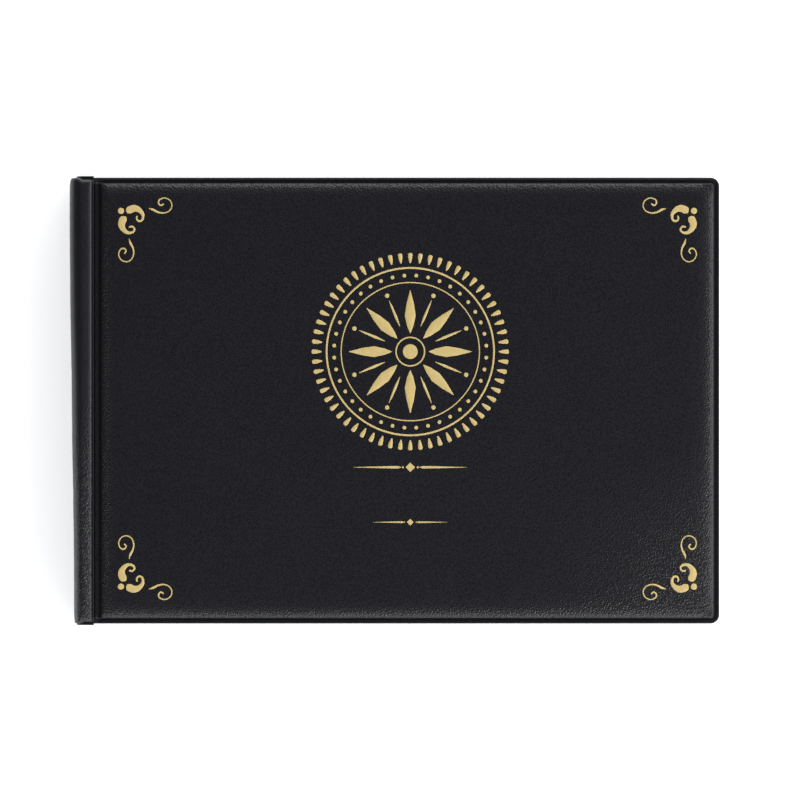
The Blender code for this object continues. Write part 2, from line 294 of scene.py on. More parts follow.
def depth_on(section, distance):
    """Read a section curve at a distance in metres; the depth is in metres too."""
    distance /= MM
    for (near, low), (far, high) in zip(section, section[1:]):
        if distance <= far:
            share = max(0.0, (distance - near) / (far - near))
            return (low + (high - low) * share) * MM
    return section[-1][1] * MM


def ramp(value, start, end):
    """0 before start, 1 after end, and smooth between."""
    share = min(1.0, max(0.0, (value - start) / (end - start)))
    return share * share * (3.0 - 2.0 * share)


def in_from_edge(spot, low, high):
    """How far a spot on a cover is in from its welded edge, which is round at the fore corners.
    The padding's own corners are blunter than the flange's."""
    fore = high[0] - spot.x
    side = min(high[1] - spot.y, spot.y - low[1])
    if fore < COVER_CORNER and side < COVER_CORNER:
        flange = COVER_CORNER - math.hypot(COVER_CORNER - fore, COVER_CORNER - side)
    else:
        flange = min(fore, side)
    near, far = sorted((fore, side))
    crown = near - BLUNT * math.log(1.0 + math.exp((near - far) / BLUNT))
    return flange + (crown - flange) * ramp(flange, 2.2 * MM, 5.0 * MM)


def lie(spot):
    """How far a padded face dips at a spot, as foam under a sheet never lies quite flat."""
    broad = noise.noise(Vector((spot.x * 20.0, spot.y * 20.0, 3.7 + spot.z * 9.0)))
    fine = noise.noise(Vector((spot.x * 60.0, spot.y * 60.0, 9.1 + spot.z * 9.0)))
    return (0.05 + 0.04 * broad + 0.015 * fine) * MM


def cover_sheet(name, part, out, depth_at, wall):
    """A sheet of one cover. out is 1 for the front and -1 for the back, and depth_at gives its
    depth under the face at a spot, a distance in from the edge and a distance across the groove."""
    box_low, box_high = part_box(part + "_cover_skin")
    groove = (box_low.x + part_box(part + "_hinge_skin")[1].x) / 2
    low = (groove - 8 * MM, box_low.y)
    high = (box_high.x, box_high.y)
    face = box_high.z if out > 0 else box_low.z
    sheet = new_sheet(name, low, high, face)
    edit(sheet)
    pick(sheet, "VERT", lambda co: co.x > high[0] - MM)
    bpy.ops.mesh.bevel(offset=COVER_CORNER, segments=10, affect="VERTICES")
    bpy.ops.mesh.select_all(action="SELECT")
    for (near, _), (far, _) in zip(WELDED_EDGE, WELDED_EDGE[1:]):
        if far * MM < COVER_CORNER:
            bpy.ops.mesh.inset(thickness=(far - near) * MM, depth=0.0)
    bpy.ops.mesh.select_all(action="SELECT")
    bpy.ops.mesh.bisect(plane_co=(groove - GROOVE_END, 0, 0), plane_no=(1, 0, 0),
                        clear_inner=True)
    slice_at([groove + place * MM for place, _ in GROOVE[1:]], 0)
    shoulder = [place * MM for place, _ in WELDED_EDGE if place * MM > COVER_CORNER]
    slice_at([high[0] - place for place in shoulder], 0)
    slice_at([high[1] - place for place in shoulder], 1)
    slice_at([low[1] + place for place in shoulder], 1)
    slice_at(spread(groove + 9 * MM, high[0] - 13 * MM, 4 * MM)[1:-1], 0)
    slice_at(spread(low[1] + 13 * MM, high[1] - 13 * MM, 4 * MM)[1:-1], 1)
    done()
    pressed = []
    for vert in sheet.data.vertices:
        inside = in_from_edge(vert.co, low, high)
        across = vert.co.x - groove
        vert.co.z = face - out * depth_at(vert.co, inside, across)
        welded = 1.0 - min(ramp(inside, 1.5 * MM, 2.0 * MM), ramp(across, 0.4 * MM, 1.0 * MM))
        to_foot = math.hypot(high[0] - vert.co.x, vert.co.y - low[1])
        ironed = FIELD_PRESS * ramp(min(inside, across), 2 * MM, 7 * MM)
        pressed.append(max(welded, ironed * ramp(to_foot, 10 * MM, 75 * MM)))
    if out < 0:
        sheet.data.flip_normals()
    layer = sheet.data.attributes.new("pressed", "FLOAT", "POINT")
    layer.data.foreach_set("value", pressed)
    thicken(sheet, wall)
    return sheet


def padded_depth(spot, inside, across):
    """The depth of a padded, welded skin under the CAD face."""
    edge = max(depth_on(WELDED_EDGE, inside), depth_on(GROOVE, across))
    return FACE_SINK + edge + lie(spot) * ramp(min(inside, across), 2.0 * MM, 6.0 * MM)


LEATHER = leatherette()

front_skin = cover_sheet("front_cover_leatherette", "front", 1, padded_depth, SKIN_WALL)
front_skin.data.materials.append(LEATHER)
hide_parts("front_cover_skin")
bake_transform(front_skin)

back_skin = cover_sheet("back_cover_leatherette", "back", -1, padded_depth, SKIN_WALL)
back_skin.data.materials.append(LEATHER)
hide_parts("back_cover_skin")
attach(back_skin, "back_cover")


# ---------------------------------------------------------------- spine skins, leatherette
# The same sheet goes on round the spine: a soft strip beside the groove, a round corner, the
# spine's face, and the same again below. It is cut here only where it lies still in every
# pose, halfway up the spine and along the pressed lines.

SPINE_CORNER = 4.5 * MM
LEAN_OUT = 0.25 * MM            # how far the spine stands out at its head end
LEAN_IN = 1.45 * MM             # and how far it is squeezed in at its foot end
# Distance from the line pressed beside the groove, towards the spine, and depth.
STRIP = (
    (0.0, 2.34), (0.2, 2.26), (0.35, 1.70), (0.5, 1.12), (0.75, 0.74), (1.2, 0.52),
    (2.0, 0.31), (3.0, 0.15), (4.2, 0.05), (6.0, 0.0),
)
# Distance in from the end of the spine, and depth.
SPINE_END = (
    (0.0, 2.62), (0.12, 2.40), (0.4, 2.30), (0.7, 2.36), (0.95, 2.44), (1.1, 2.20),
    (1.2, 1.55), (1.32, 1.00), (1.6, 0.66), (2.3, 0.44), (3.3, 0.27), (4.6, 0.13),
    (6.5, 0.05), (9.0, 0.0),
)


def outer_face(out):
    """The height of the album's front face (1) or back face (-1)."""
    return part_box("front_cover_skin")[1].z if out > 0 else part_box("back_cover_skin")[0].z


def wrap_sheet(name, out, depth_at, wall, offset=-1.0, margin=0.0, start=0.0, weight_at=None):
    """A sheet from the pressed line round the spine's corner to halfway up the spine. margin
    and start hold it back from the spine's ends and from the pressed line."""
    spine_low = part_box("spine_skin")[0]
    box_low, box_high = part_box("front_hinge_skin")
    groove = (box_high.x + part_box("front_cover_skin")[0].x) / 2
    face = outer_face(out)
    middle = (outer_face(1) + outer_face(-1)) / 2
    pressed_line = groove - GROOVE_END
    turn_x = spine_low.x + SPINE_CORNER
    turn_z = face - out * SPINE_CORNER
    low_y, high_y = box_low.y + margin, box_high.y - margin
    sheet = new_sheet(name, (turn_x, low_y), (pressed_line - start, high_y), face)
    edit(sheet)
    pick(sheet, "EDGE", lambda co: co.x < turn_x + 0.01 * MM)
    bpy.ops.mesh.spin(steps=14, angle=out * math.pi / 2, center=(turn_x, 0, turn_z),
                      axis=(0, 1, 0))
    pick(sheet, "EDGE", lambda co: co.x < spine_low.x + 0.01 * MM
         and abs(co.z - turn_z) < 0.01 * MM)
    bpy.ops.mesh.extrude_region_move(
        TRANSFORM_OT_translate={"value": (0, 0, middle - turn_z)})
    bpy.ops.mesh.select_all(action="SELECT")
    bpy.ops.mesh.normals_make_consistent(inside=False)
    slice_at([pressed_line - place * MM for place, _ in STRIP[1:-1] if place * MM > start], 0)
    slice_at(spread(min(turn_z, middle), max(turn_z, middle), 1.0 * MM)[1:-1], 2)
    ends = [place * MM - margin for place, _ in SPINE_END[1:] if place * MM > margin]
    slice_at([low_y + place for place in ends], 1)
    slice_at([high_y - place for place in ends], 1)
    slice_at(spread(low_y + ends[-1], high_y - ends[-1], 0.9 * MM)[1:-1], 1)
    done()
    if sheet.data.polygons[0].normal.z * out < 0:
        sheet.data.flip_normals()
    pressed = []
    weights = []
    for vert in sheet.data.vertices:
        level = out * (vert.co.z - turn_z)
        aside = vert.co.x - turn_x
        if aside >= 0:
            facing = Vector((0.0, 0.0, out))
        elif level <= 0:
            facing = Vector((-1.0, 0.0, 0.0))
        else:
            facing = Vector((aside, 0.0, out * level)).normalized()
        end = min(box_high.y - vert.co.y, vert.co.y - box_low.y) * (1.0 - 1.4 * facing.x)
        line = pressed_line - vert.co.x
        depth = depth_at(vert.co, end, line, -facing.x)
        weights.append(weight_at(vert.co, end, line, -facing.x) if weight_at else 1.0)
        vert.co -= facing * depth
        welded = 1.0 - min(ramp(end, 1.0 * MM, 1.4 * MM), ramp(line, 0.2 * MM, 0.6 * MM))
        pressed.append(max(welded, FIELD_PRESS * ramp(vert.co.y, -45 * MM, 25 * MM)))
    layer = sheet.data.attributes.new("pressed", "FLOAT", "POINT")
    layer.data.foreach_set("value", pressed)
    group = ""
    if weight_at:
        group = "fullness"
        sheet.vertex_groups.new(name=group)
        for number, weight in enumerate(weights):
            sheet.vertex_groups[group].add([number], weight, "REPLACE")
    thicken(sheet, wall, offset, group)
    return sheet


def lean(spot):
    """How far the spine's face is squeezed in at a spot along it."""
    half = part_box("spine_skin")[1].y
    foot = ramp(-spot.y, -half * 1.2, half * 1.1)
    return -LEAN_OUT + (LEAN_OUT + LEAN_IN) * foot


def wrap_depth(spot, end, line, sideways):
    """The depth of the skin round the spine: pressed, pinched at its ends, leaning, puckered."""
    edge = max(depth_on(STRIP, line), depth_on(SPINE_END, end))
    free = ramp(end, 1.6 * MM, 5.0 * MM) * ramp(line, 0.8 * MM, 3.0 * MM)
    pucker = noise.noise(Vector((spot.x * 90.0, spot.y * 330.0, spot.z * 90.0)))
    swell = noise.noise(Vector((spot.x * 30.0, spot.y * 55.0, spot.z * 30.0)))
    waves = (0.07 + 0.05 * pucker + 0.10 * swell * sideways) * MM
    leaning = lean(spot) * ramp(sideways, 0.0, 1.0)
    return FACE_SINK + max(edge, leaning + 0.4 * edge) + waves * free


front_wrap = wrap_sheet("spine_leatherette_front", 1, wrap_depth, SKIN_WALL)
front_wrap.data.materials.append(LEATHER)
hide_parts("front_hinge_skin", "spine_skin")
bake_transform(front_wrap)

back_wrap = wrap_sheet("spine_leatherette_back", -1, wrap_depth, SKIN_WALL)
back_wrap.data.materials.append(LEATHER)
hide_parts("back_hinge_skin", "spine_skin")
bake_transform(back_wrap)


# ---------------------------------------------------------------- gold stamping
# Sand-gold foil is pressed on the front cover with a hot die: a metallised lacquer a few
# hundredths of a millimetre thick, half matt, which takes the leather's grain. The pattern is
# plain: a curl at each corner, a round medallion like a milled coin, and two short rules.

FOIL_RISE = 0.06 * MM
PANEL_MIDDLE = (4.3, 0.6)       # the middle of the stamped panel, in millimetres
CORNER_REACH = (92.4, 60.6)     # from there to the dot of each corner curl
MEDALLION = (5.2, 15.8)         # the medallion's centre, in millimetres
# Ticks and spokes: distance from the medallion's centre, and half the width there.
TICK = ((28.6, 0.2), (30.1, 0.6), (31.4, 0.72), (31.8, 0.4))
BROAD_SPOKE = ((6.0, 0.1), (8.2, 1.0), (11.6, 1.75), (15.4, 1.2), (19.8, 0.08))
THIN_SPOKE = ((8.8, 0.08), (12.0, 0.42), (15.6, 0.3), (17.9, 0.08))
TICKS = 60
BEADS = 40
SPOKES = 8
SAND_GOLD = "#DBC586"
SHADED_GOLD = "#CDB372"
# Middle line of a corner's strokes, in millimetres: from its dot along one edge of the cover,
# in from that edge, and half the stroke's width there.
SCROLL = ((1.7, 0.0, 0.35), (1.95, -0.05, 0.9), (2.7, -0.3, 1.22), (4.4, -0.8, 1.12),
          (6.3, 0.1, 0.72), (7.1, 1.8, 0.42), (6.2, 3.3, 0.3), (5.1, 2.7, 0.28),
          (5.2, 1.6, 0.26))
TENDRIL = ((8.9, -0.8, 0.06), (10.3, -0.4, 0.36), (12.2, 0.5, 0.27), (14.2, 0.6, 0.2),
           (16.0, -0.5, 0.18), (16.3, -2.4, 0.18), (15.0, -3.9, 0.18), (13.2, -4.0, 0.2),
           (12.1, -2.9, 0.24), (12.8, -1.8, 0.24), (13.8, -2.3, 0.22))


def stamping_foil():
    """Sand-gold stamping foil: part metal, part lacquer, half matt, with the grain showing."""
    material, shader = new_material("sand_gold_stamping_foil", Metallic=0.15)
    where = add_node(material, "ShaderNodeTexCoord").outputs["Object"]
    worn = add_node(material, "ShaderNodeTexNoise", {"Scale": 900.0, "Detail": 3.0},
                    Vector=where)
    shade = add_node(material, "ShaderNodeMix",
                     {"data_type": "RGBA", 6: linear(SHADED_GOLD), 7: linear(SAND_GOLD)},
                     in0=worn.outputs["Fac"])
    dull = add_node(material, "ShaderNodeMapRange", {"To Min": 0.36, "To Max": 0.58},
                    Value=worn.outputs["Fac"])
    pebble = add_node(material, "ShaderNodeTexVoronoi",
                      {"feature": "SMOOTH_F1", "Scale": 1 / GRAIN, "Smoothness": 0.35,
                       "Randomness": 0.95}, Vector=where)
    bump = add_node(material, "ShaderNodeBump",
                    {"Strength": 0.25, "Distance": 0.08 * MM, "invert": True},
                    Height=pebble.outputs["Distance"])
    tree = material.node_tree
    tree.links.new(shade.outputs[2], shader.inputs["Base Color"])
    tree.links.new(dull.outputs["Result"], shader.inputs["Roughness"])
    tree.links.new(bump.outputs["Normal"], shader.inputs["Normal"])
    return material


def stroke(die, points, kind="BEZIER", closed=False):
    """Add one stroke to a die: its middle line and half widths, in millimetres."""
    line = die.splines.new(kind)
    if kind == "BEZIER":
        line.bezier_points.add(len(points) - 1)
        for spot, (x, y, half) in zip(line.bezier_points, points):
            spot.co = (x * MM, y * MM, 0.0)
            spot.handle_left_type = spot.handle_right_type = "AUTO"
            spot.radius = half
    else:
        line.points.add(len(points) - 1)
        for spot, (x, y, half) in zip(line.points, points):
            spot.co = (x * MM, y * MM, 0.0, 1.0)
            spot.radius = half
    line.use_cyclic_u = closed
    line.use_smooth = True


def dot(die, x, y, half):
    """A round dot, drawn as a stroke whose width swells and shrinks like a circle."""
    turns = [math.pi * step / 10 for step in range(11)]
    stroke(die, [(x - half * math.cos(turn), y, max(0.02, half * math.sin(turn)))
                 for turn in turns], "POLY")


def spoke(die, centre, turn, parts):
    """A straight stroke out from a centre; parts are pairs of a distance and a half width."""
    stroke(die, [(centre[0] + reach * math.cos(turn), centre[1] + reach * math.sin(turn), half)
                 for reach, half in parts], "POLY")


def ring(die, centre, radius, half):
    """A thin round line."""
    turns = [math.tau * step / 96 for step in range(96)]
    stroke(die, [(centre[0] + radius * math.cos(turn), centre[1] + radius * math.sin(turn), half)
                 for turn in turns], "POLY", closed=True)


def new_die(name):
    """An empty set of strokes."""
    die = bpy.data.curves.new(name, "CURVE")
    die.dimensions = "3D"
    die.bevel_depth = 1.0 * MM
    die.bevel_resolution = 2
    die.resolution_u = 7
    die.use_fill_caps = True
    return die


def stamp(die):
    """Press the strokes of a die onto the front cover, as flat foil with sloping rims."""
    foil = bpy.data.objects.new(die.name, die)
    bpy.context.scene.collection.objects.link(foil)
    bpy.ops.object.select_all(action="DESELECT")
    foil.select_set(True)
    bpy.context.view_layer.objects.active = foil
    bpy.ops.object.convert(target="MESH")
    foil = bpy.context.object
    for vert in foil.data.vertices:
        above = Vector((vert.co.x, vert.co.y, 1.0))
        under = skin_tree.ray_cast(above, Vector((0.0, 0.0, -1.0)))[0].z
        tilt = 0.0 if abs(vert.co.z) < 0.001 * MM else math.copysign(1.0, vert.co.z)
        vert.co.z = under + tilt * FOIL_RISE
    edit(foil)
    bpy.ops.mesh.select_all(action="SELECT")
    bpy.ops.mesh.normals_make_consistent(inside=False)
    done()
    soften(foil, 30)
    foil.data.materials.append(GOLD)
    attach(foil, "front_cover")


GOLD = stamping_foil()
skin_tree = BVHTree.FromPolygons([vert.co.copy() for vert in front_skin.data.vertices],
                                 [tuple(face.vertices) for face in front_skin.data.polygons])

curls = new_die("front_cover_gold_corners")
for side_x in (-1, 1):
    for side_y in (-1, 1):
        spot_x = PANEL_MIDDLE[0] + side_x * CORNER_REACH[0]
        spot_y = PANEL_MIDDLE[1] + side_y * CORNER_REACH[1]
        dot(curls, spot_x, spot_y, 1.0)
        for line, shift in ((SCROLL, 1.0), (TENDRIL, 3.4)):
            stroke(curls, [(spot_x - side_x * along, spot_y - side_y * away, half)
                           for along, away, half in line])
            stroke(curls, [(spot_x - side_x * (away + shift), spot_y - side_y * along, half)
                           for along, away, half in line])
stamp(curls)

medal = new_die("front_cover_gold_medallion")
for step in range(TICKS):
    spoke(medal, MEDALLION, math.tau * step / TICKS, TICK)
ring(medal, MEDALLION, 27.0, 0.28)
for step in range(BEADS):
    turn = math.tau * (step + 0.5) / BEADS
    dot(medal, MEDALLION[0] + 24.6 * math.cos(turn), MEDALLION[1] + 24.6 * math.sin(turn), 0.6)
ring(medal, MEDALLION, 22.3, 0.18)
for step in range(SPOKES):
    turn = math.tau * step / SPOKES
    between = turn + math.tau / (2 * SPOKES)
    spoke(medal, MEDALLION, turn, BROAD_SPOKE)
    spoke(medal, MEDALLION, between, THIN_SPOKE)
    dot(medal, MEDALLION[0] + 19.5 * math.cos(between),
        MEDALLION[1] + 19.5 * math.sin(between), 0.7)
ring(medal, MEDALLION, 4.6, 0.22)
dot(medal, *MEDALLION, 2.4)
stamp(medal)

rules = new_die("front_cover_gold_rules")
for level, reach, size in ((-21.5, 18.2, 1.5), (-39.2, 12.0, 1.05)):
    x = MEDALLION[0]
    stroke(rules, [(x - size, level, 0.04), (x, level, size), (x + size, level, 0.04)], "POLY")
    for side in (-1, 1):
        stroke(rules, [(x + side * place * reach, level, half * size)
                       for place, half in ((0.16, 0.03), (0.22, 0.26), (0.5, 0.2), (1.0, 0.03))],
               "POLY")
        dot(rules, x + side * (size + 0.9), level, 0.22 * size)
stamp(rules)


# ---------------------------------------------------------------- linings, smooth PVC
# The inside is one sheet of smooth black PVC with a fine matt emboss, welded to the skin
# round the edge. It is all there is to see when the album lies open, apart from the leaves.

LINING_WALL = 0.3 * MM
LINING_DEPTH = 2.98 * MM
WELD_LIFT = 0.18 * MM           # the weld pulls the lining up to the skin's flange
LINING_BLACK = "#17171A"


def smooth_pvc():
    """Soft PVC lining film: black, with a fine matt emboss, a dull sheen and faint scuffs."""
    material, shader = new_material("matt_pvc_lining", IOR=1.5, Metallic=0.0)
    shader.inputs["Base Color"].default_value = linear(LINING_BLACK)
    where = add_node(material, "ShaderNodeTexCoord").outputs["Object"]
    emboss = add_node(material, "ShaderNodeTexNoise", {"Scale": 2600.0, "Detail": 2.0},
                      Vector=where)
    scuff = add_node(material, "ShaderNodeTexNoise", {"Scale": 190.0, "Detail": 6.0},
                     Vector=where)
    dull = add_node(material, "ShaderNodeMapRange", {"To Min": 0.36, "To Max": 0.46},
                    Value=scuff.outputs["Fac"])
    bump = add_node(material, "ShaderNodeBump", {"Strength": 0.4, "Distance": 0.05 * MM},
                    Height=emboss.outputs["Fac"])
    tree = material.node_tree
    tree.links.new(dull.outputs["Result"], shader.inputs["Roughness"])
    tree.links.new(bump.outputs["Normal"], shader.inputs["Normal"])
    return material


def lining_depth(spot, inside, across):
    """The depth of a cover's lining under the CAD face."""
    weld = 1.0 - ramp(min(inside, across + 1.8 * MM), 1.5 * MM, 2.4 * MM)
    swell = noise.noise(Vector((spot.x * 25.0, spot.y * 25.0, 1.3))) * 0.03 * MM
    return LINING_DEPTH - WELD_LIFT * weld + (1.0 - weld) * swell


def lining_wrap_depth(spot, end, line, sideways):
    """The depth of the lining round the spine."""
    weld = 1.0 - ramp(end, 1.5 * MM, 2.4 * MM)
    return LINING_DEPTH - WELD_LIFT * weld


LINING = smooth_pvc()

front_lining = cover_sheet("front_cover_pvc_lining", "front", 1, lining_depth, LINING_WALL)
front_lining.data.materials.append(LINING)
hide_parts("front_cover_lining")
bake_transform(front_lining)

back_lining = cover_sheet("back_cover_pvc_lining", "back", -1, lining_depth, LINING_WALL)
back_lining.data.materials.append(LINING)
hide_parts("back_cover_lining")
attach(back_lining, "back_cover")

front_inner = wrap_sheet("spine_pvc_lining_front", 1, lining_wrap_depth, LINING_WALL)
front_inner.data.materials.append(LINING)
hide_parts("front_hinge_lining", "spine_lining")
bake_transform(front_inner)

back_inner = wrap_sheet("spine_pvc_lining_back", -1, lining_wrap_depth, LINING_WALL)
back_inner.data.materials.append(LINING)
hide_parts("back_hinge_lining", "spine_lining")
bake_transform(back_inner)


# ---------------------------------------------------------------- foam
# Thin open-cell foam under the leatherette makes the covers and the strip soft. It is cut
# from a sheet, and thins out towards the welds.

FOAM_SKIN_GAP = 0.04 * MM
FOAM_BOTTOM = 1.54 * MM         # depth at which the foam lies on the board
FOAM_CREAM = "#D9D2BE"


def open_foam():
    """Open-cell polyurethane foam: cream, dull, with small round cells whose hollows are painted
    darker, a painted shade.
    """
    material, shader = new_material("open_cell_foam", Roughness=0.95)
    where = add_node(material, "ShaderNodeTexCoord").outputs["Object"]
    cells = add_node(material, "ShaderNodeTexVoronoi", {"Scale": 1900.0}, Vector=where)
    # The pores, where the bump sinks, are painted darker than the cream: painted shade in the
    # hollows.
    shade = add_node(material, "ShaderNodeMix",
                     {"data_type": "RGBA", 6: linear("#A89F87"), 7: linear(FOAM_CREAM)},
                     in0=cells.outputs["Distance"])
    bump = add_node(material, "ShaderNodeBump", {"Strength": 0.6, "Distance": 0.2 * MM},
                    Height=cells.outputs["Distance"])
    tree = material.node_tree
    tree.links.new(shade.outputs[2], shader.inputs["Base Color"])
    tree.links.new(bump.outputs["Normal"], shader.inputs["Normal"])
    return material


def cover_foam(name, part, out):
    """The foam of one cover, between skin and board."""
    skin_low, skin_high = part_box(part + "_cover_skin")
    box_low, box_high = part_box(part + "_cover_foam")
    groove = (skin_low.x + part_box(part + "_hinge_skin")[1].x) / 2
    face = skin_high.z if out > 0 else skin_low.z
    bottom = face - out * FOAM_BOTTOM
    margin = 0.7 * MM
    low = (box_low.x + margin, box_low.y + margin)
    high = (box_high.x - margin, box_high.y - margin)
    foam = new_sheet(name, low, high, bottom)
    edit(foam)
    slice_at([low[0] + place * MM for place in (0.6, 1.5, 3.0, 5.5)], 0)
    for axis in (0, 1):
        slice_at([high[axis] - place * MM for place in (0.8, 1.8, 3.2, 5.0, 7.5, 10.0)], axis)
    slice_at([low[1] + place * MM for place in (0.8, 1.8, 3.2, 5.0, 7.5, 10.0)], 1)
    slice_at(spread(low[0] + 5.5 * MM, high[0] - 10 * MM, 4 * MM)[1:-1], 0)
    slice_at(spread(low[1] + 10 * MM, high[1] - 10 * MM, 4 * MM)[1:-1], 1)
    bpy.ops.mesh.select_all(action="SELECT")
    bpy.ops.mesh.extrude_region_move(TRANSFORM_OT_translate={"value": (0, 0, out * 0.05 * MM)})
    done()
    for vert in foam.data.vertices:
        if out * (vert.co.z - bottom) > 0.01 * MM:
            inside = in_from_edge(vert.co, skin_low, skin_high)
            under = padded_depth(vert.co, inside, vert.co.x - groove) + SKIN_WALL
            vert.co.z = face - out * min(FOAM_BOTTOM - 0.03 * MM, under + FOAM_SKIN_GAP)
    edit(foam)
    bpy.ops.mesh.select_all(action="SELECT")
    bpy.ops.mesh.normals_make_consistent(inside=False)
    done()
    soften(foam)
    foam.data.materials.append(FOAM)
    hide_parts(part + "_cover_foam")
    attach(foam, part + "_cover")


def foam_wrap_depth(spot, end, line, sideways):
    """The depth of the foam's inner face round the spine, which the rest is built up from."""
    squeezed = wrap_depth(spot, end, line, sideways) + SKIN_WALL + 0.06 * MM
    return max(FOAM_BOTTOM, squeezed if sideways > 0.3 else 0.0)


def foam_fullness(spot, end, line, sideways):
    """The share of the foam's full height at a spot, under the skin."""
    room = FOAM_BOTTOM - wrap_depth(spot, end, line, sideways) - SKIN_WALL - FOAM_SKIN_GAP
    return min(1.0, max(0.02, room / FOAM_BOTTOM))


FOAM = open_foam()
cover_foam("front_cover_padding", "front", 1)
cover_foam("back_cover_padding", "back", -1)

front_roll = wrap_sheet("spine_padding_front", 1, foam_wrap_depth, FOAM_BOTTOM, offset=1.0,
                        margin=2.3 * MM, start=1.2 * MM, weight_at=foam_fullness)
front_roll.data.materials.append(FOAM)
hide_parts("front_hinge_foam", "spine_foam")
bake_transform(front_roll)

back_roll = wrap_sheet("spine_padding_back", -1, foam_wrap_depth, FOAM_BOTTOM, offset=1.0,
                       margin=2.3 * MM, start=1.2 * MM, weight_at=foam_fullness)
back_roll.data.materials.append(FOAM)
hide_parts("back_hinge_foam", "spine_foam")
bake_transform(back_roll)


# ---------------------------------------------------------------- boards
# Grey recycled board stiffens the covers, and a narrow strip of it the spine. It is die-cut,
# so its edges are square and a little furry.

SPINE_BOARD_END = 2.4 * MM
SPINE_BOARD_TUCK = 0.3 * MM     # its outer face is sanded back where the foot end is squeezed


def grey_board():
    """Recycled grey board: matt, with pale and dark fibres pressed flat in it."""
    material, shader = new_material("recycled_grey_board", Roughness=0.92)
    where = add_node(material, "ShaderNodeTexCoord").outputs["Object"]
    stretch = add_node(material, "ShaderNodeMapping", {"Scale": (500.0, 1500.0, 1500.0)},
                       Vector=where)
    fibre = add_node(material, "ShaderNodeTexNoise", {"Scale": 1.0, "Detail": 5.0},
                     Vector=stretch.outputs["Vector"])
    cloud = add_node(material, "ShaderNodeTexNoise", {"Scale": 60.0, "Detail": 3.0},
                     Vector=where)
    mixed = add_node(material, "ShaderNodeMath", {"operation": "MULTIPLY"},
                     in0=fibre.outputs["Fac"], in1=cloud.outputs["Fac"])
    spread_out = add_node(material, "ShaderNodeMapRange", {"From Min": 0.12, "From Max": 0.4},
                          Value=mixed.outputs["Value"])
    shade = add_node(material, "ShaderNodeMix",
                     {"data_type": "RGBA", 6: linear("#6F6B63"), 7: linear("#A29C90")},
                     in0=spread_out.outputs["Result"])
    bump = add_node(material, "ShaderNodeBump", {"Strength": 0.3, "Distance": 0.05 * MM},
                    Height=fibre.outputs["Fac"])
    tree = material.node_tree
    tree.links.new(shade.outputs[2], shader.inputs["Base Color"])
    tree.links.new(bump.outputs["Normal"], shader.inputs["Normal"])
    return material


BOARD = grey_board()
for node in ("front_cover_board", "back_cover_board"):
    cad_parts[node].data.materials.clear()
    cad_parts[node].data.materials.append(BOARD)

board_low, board_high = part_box("spine_board")
bpy.ops.mesh.primitive_cube_add(size=1.0)
spine_board = bpy.context.object
spine_board.name = "spine_stiffener"
for vert in spine_board.data.vertices:
    vert.co.x = board_high.x if vert.co.x > 0 else board_low.x + SPINE_BOARD_TUCK
    vert.co.y = (board_high.y - SPINE_BOARD_END) * (1 if vert.co.y > 0 else -1)
    vert.co.z = board_high.z - MM if vert.co.z > 0 else board_low.z + MM
edit(spine_board)
bpy.ops.mesh.select_all(action="SELECT")
bpy.ops.mesh.bevel(offset=0.12 * MM, segments=2, affect="EDGES")
done()
soften(spine_board)
spine_board.data.materials.append(BOARD)
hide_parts("spine_board")
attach(spine_board, "spine")


# ---------------------------------------------------------------- binding tape
# A stiff strip of black tape inside the spine. The roots of the ten leaves are welded to it.


def binding_tape():
    """Woven polyester tape, coated black: a fine plain weave with a slight sheen."""
    material, shader = new_material("coated_woven_tape", IOR=1.5)
    shader.inputs["Base Color"].default_value = linear("#1B1B1D")
    where = add_node(material, "ShaderNodeTexCoord").outputs["Object"]
    warp = add_node(material, "ShaderNodeTexWave",
                    {"bands_direction": "Y", "Scale": 380.0, "Distortion": 0.6}, Vector=where)
    weft = add_node(material, "ShaderNodeTexWave",
                    {"bands_direction": "Z", "Scale": 380.0, "Distortion": 0.6}, Vector=where)
    weave = add_node(material, "ShaderNodeMath", {"operation": "MULTIPLY"},
                     in0=warp.outputs["Fac"], in1=weft.outputs["Fac"])
    rough = add_node(material, "ShaderNodeMapRange", {"To Min": 0.62, "To Max": 0.42},
                     Value=weave.outputs["Value"])
    bump = add_node(material, "ShaderNodeBump", {"Strength": 0.5, "Distance": 0.08 * MM},
                    Height=weave.outputs["Value"])
    tree = material.node_tree
    tree.links.new(rough.outputs["Result"], shader.inputs["Roughness"])
    tree.links.new(bump.outputs["Normal"], shader.inputs["Normal"])
    return material


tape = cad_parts["spine_binding_strip"]
tape.data.materials.clear()
tape.data.materials.append(binding_tape())


# ---------------------------------------------------------------- leaves
# Ten leaves of clear soft PVC. Each is a base film with a second film welded on it in lines,
# which makes pockets for coins; a mouth is slit near the top weld of each pocket. Empty
# pockets stand up a little, and the films are never quite flat.

FILM_WALL = 0.2 * MM
LEAF_CORNER = 3.0 * MM
ROOT_MARGIN = 12.0 * MM         # bare base film beside the spine
POCKET_EDGE = 2.0 * MM
WELD_HALF = 0.8 * MM            # half the width of a weld between two pockets
POCKET_PUFF = 0.32 * MM         # how far an empty pocket stands up
MOUTH_INSET = 4.0 * MM
MOUTH_DROP = 3.5 * MM
MOUTH_HEIGHT = 1.4 * MM
LEAVES = 10
LARGE_LEAVES = 6                # the first leaves, from the front, have the large pockets
POCKETS = {"large": (6, 4), "small": (7, 6)}


